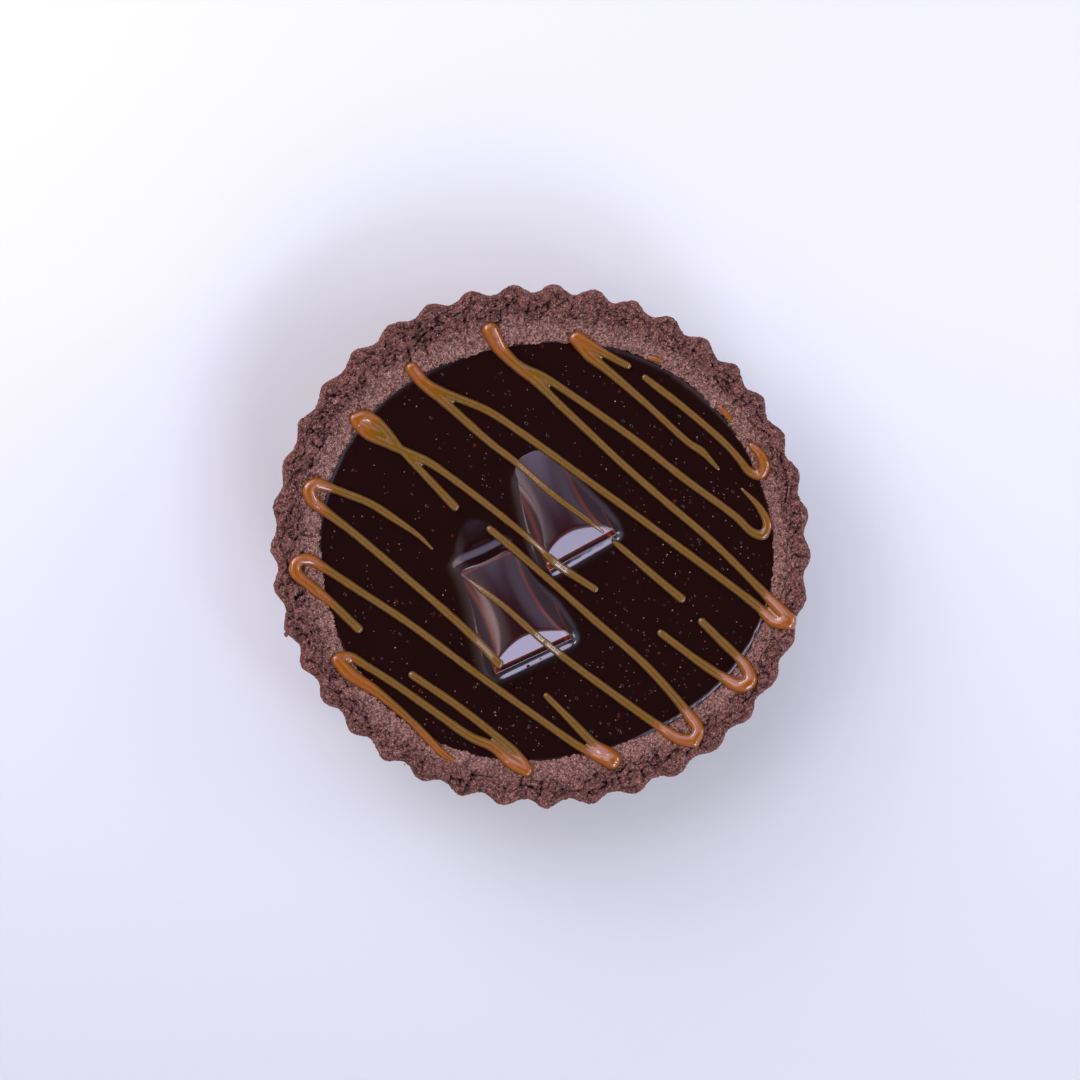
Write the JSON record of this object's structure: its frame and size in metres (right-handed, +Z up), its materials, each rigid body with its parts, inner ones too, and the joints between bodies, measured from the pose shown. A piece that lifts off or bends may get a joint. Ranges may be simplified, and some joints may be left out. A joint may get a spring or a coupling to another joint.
{
  "type": "chocolate tart",
  "caption": "Single-serve round tart: fluted cocoa shortcrust case filled with dark ganache, topped with moulded chocolate pieces and a zigzag caramel drizzle.",
  "frame": {"origin": "bottom centre of the bounding box: the middle of the case's flat underside", "axes": "+Z up through the tart's short height; the drizzle runs from -X+Y down to +X-Y and the chocolate pieces' long axes point to -Y"},
  "size_m": [0.1019, 0.0987, 0.022],
  "materials": {
    "crust": "matte baked cocoa shortcrust",
    "ganache": "glossy poured dark ganache",
    "chocolate": "satin tempered chocolate"
  },
  "bodies": {
    "root": {"crust": "crust", "ganache": "ganache", "chocolate_front": "chocolate", "chocolate_back": "chocolate"}
  },
  "joints": []
}
